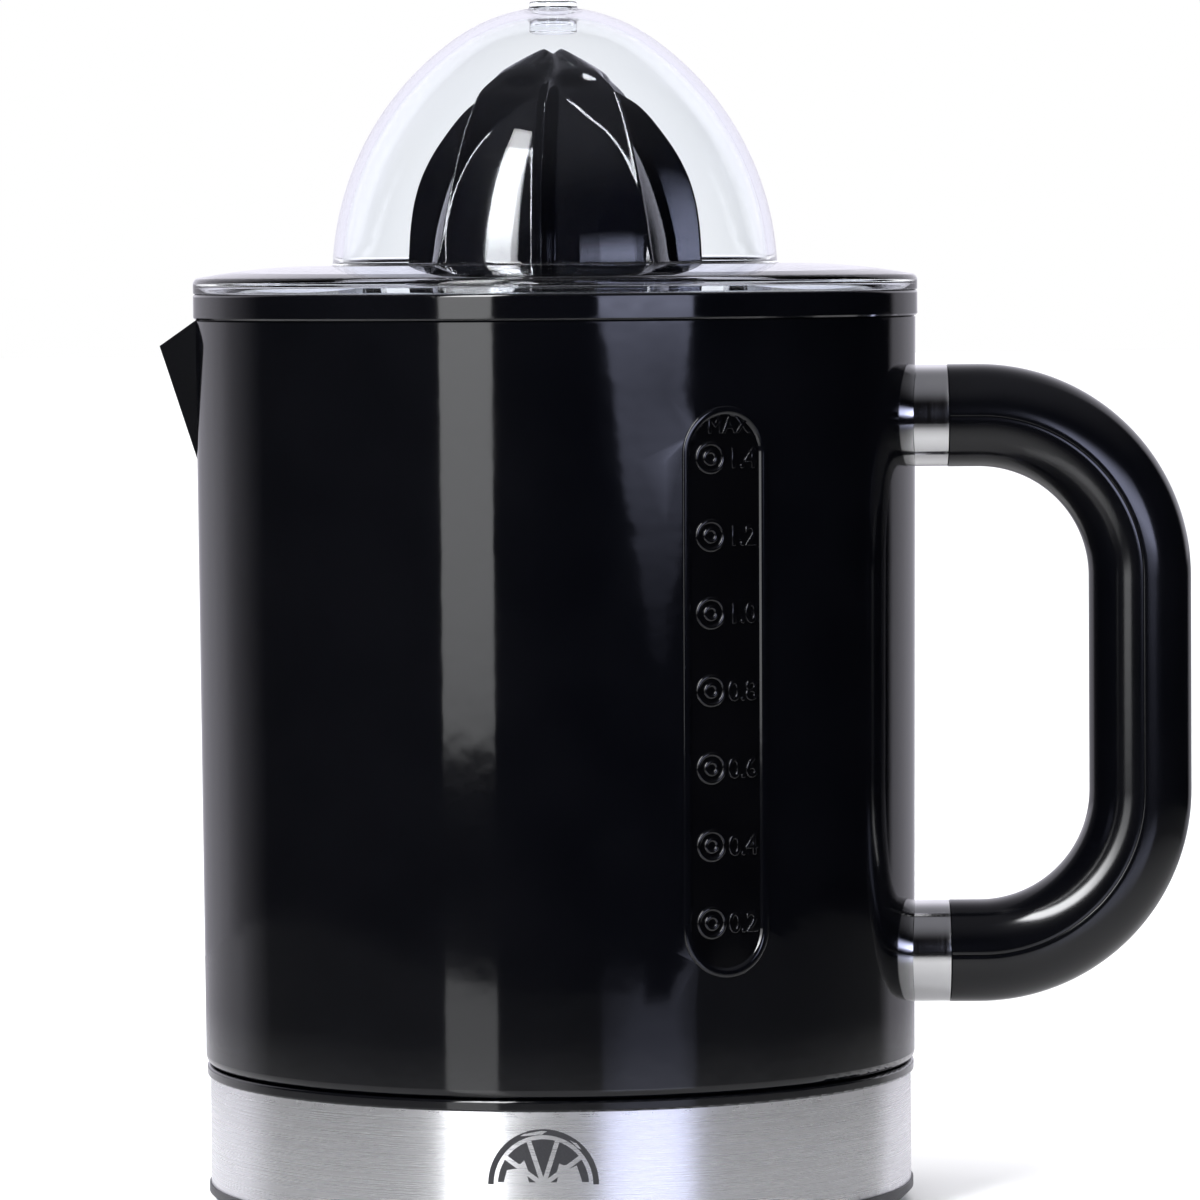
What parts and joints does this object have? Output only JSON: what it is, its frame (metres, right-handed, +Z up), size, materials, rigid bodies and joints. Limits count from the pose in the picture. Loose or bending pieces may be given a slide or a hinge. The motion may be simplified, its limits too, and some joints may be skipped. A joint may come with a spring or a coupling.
{
  "type": "electric citrus press juicer",
  "caption": "Electric citrus press: black jug with D-shaped handle and spout on a steel-banded motor base, ribbed pressing cone, strainer and clear domed cover.",
  "frame": {"origin": "centre of the anti-slip foot ring's underside, on the table, on the axis of the jug and drive shaft", "axes": "+Z up along the drive shaft; +X towards the handle, -X towards the spout; -Y is the front with the level window, +Y the rear with the cord inlet"},
  "size_m": [0.203, 0.1428, 0.2369],
  "materials": {
    "gloss_black": "high gloss",
    "satin_black": "satin",
    "clear_plastic": "clear, polished",
    "smoked_window": "smoked, polished",
    "brushed_band": "brushed round",
    "ferrule_chrome": "mirror",
    "black_rubber": "matt",
    "nylon": "natural nylon",
    "grey_plastic": "glass-filled",
    "bobbin_plastic": "matt",
    "copper_wire": "enamelled copper",
    "bronze": "sintered",
    "laminations": "stacked laminations",
    "ferrite": "ground",
    "steel": "drawn bar",
    "zinc_screws": "zinc plated"
  },
  "bodies": {
    "base": {"foot_ring": "black_rubber", "bottom_plate": "satin_black", "base_screws": "zinc_screws", "base_housing": "gloss_black", "steel_band": "brushed_band", "cord_inlet": "black_rubber", "output_bush": "bronze", "shaft_seal": "black_rubber", "gear_plate": "grey_plastic", "gear_plate_screws": "zinc_screws", "idler_pin": "steel", "return_spring": "steel", "switch_holder": "grey_plastic", "holder_screws": "zinc_screws", "switch_body": "satin_black", "motor_core": "laminations", "coil_bobbins": "bobbin_plastic", "motor_coils": "copper_wire", "upper_bridge": "steel", "lower_bridge": "steel", "motor_screws": "zinc_screws", "terminal_block": "bobbin_plastic"},
    "output_wheel": {"output_gear": "nylon"},
    "drive_shaft": {"drive_shaft": "steel"},
    "idler": {"idler_gear": "nylon"},
    "rotor": {"rotor_magnet": "ferrite", "rotor_shaft": "steel", "rotor_pinion": "bronze"},
    "plunger": {"switch_plunger": "grey_plastic"},
    "jug": {"jug_shell": "gloss_black", "jug_floor": "satin_black", "floor_seal": "black_rubber", "centre_column": "satin_black", "level_window": "smoked_window", "window_gasket": "gloss_black", "handle_outer_shell": "gloss_black", "handle_inner_shell": "gloss_black", "upper_ferrule": "ferrule_chrome", "lower_ferrule": "ferrule_chrome", "handle_end_plugs": "satin_black", "handle_washers": "black_rubber", "handle_screws": "zinc_screws"},
    "strainer": {"strainer": "gloss_black"},
    "carrier": {"cone_carrier": "satin_black"},
    "cone": {"reamer_cone": "gloss_black"},
    "cover": {"dust_cover": "clear_plastic"}
  },
  "joints": [
    {"name": "jug_lift", "type": "slide", "parent": "base", "child": "jug", "axis": [0, 0, 1], "range_m": [0, 0.18]},
    {"name": "strainer_lift", "type": "slide", "parent": "jug", "child": "strainer", "axis": [0, 0, 1], "range_m": [0, 0.08]},
    {"name": "cover_lift", "type": "slide", "parent": "strainer", "child": "cover", "axis": [0, 0, 1], "range_m": [0, 0.08]},
    {"name": "output_spin", "type": "hinge", "parent": "base", "child": "output_wheel", "pos_m": [0, 0, 0.038], "axis": [0, 0, 1], "continuous": true},
    {"name": "shaft_press", "type": "slide", "parent": "output_wheel", "child": "drive_shaft", "axis": [0, 0, 1], "range_m": [-0.0025, 0], "stiffness_N_per_m": 2000, "springref_m": 0.003, "deforming": ["return_spring"]},
    {"name": "switch_press", "type": "slide", "parent": "base", "child": "plunger", "axis": [0, 0, 1], "range_m": [-0.0025, 0]},
    {"name": "idler_spin", "type": "hinge", "parent": "base", "child": "idler", "pos_m": [0.02694, -0.0132, 0.035], "axis": [0, 0, 1], "continuous": true},
    {"name": "rotor_spin", "type": "hinge", "parent": "base", "child": "rotor", "pos_m": [0.014, -0.034, 0.03], "axis": [0, 0, 1], "continuous": true},
    {"name": "carrier_spin", "type": "hinge", "parent": "strainer", "child": "carrier", "pos_m": [0, 0, 0.17], "axis": [0, 0, 1], "continuous": true},
    {"name": "cone_press", "type": "slide", "parent": "carrier", "child": "cone", "axis": [0, 0, 1], "range_m": [-0.0025, 0]}
  ],
  "couplings": [
    {"joint": "idler_spin", "follows": "rotor_spin", "ratio": -0.16667},
    {"joint": "output_spin", "follows": "rotor_spin", "ratio": 0.033333},
    {"joint": "carrier_spin", "follows": "rotor_spin", "ratio": 0.033333},
    {"joint": "cone_press", "follows": "shaft_press", "ratio": 1},
    {"joint": "switch_press", "follows": "shaft_press", "ratio": 1}
  ]
}
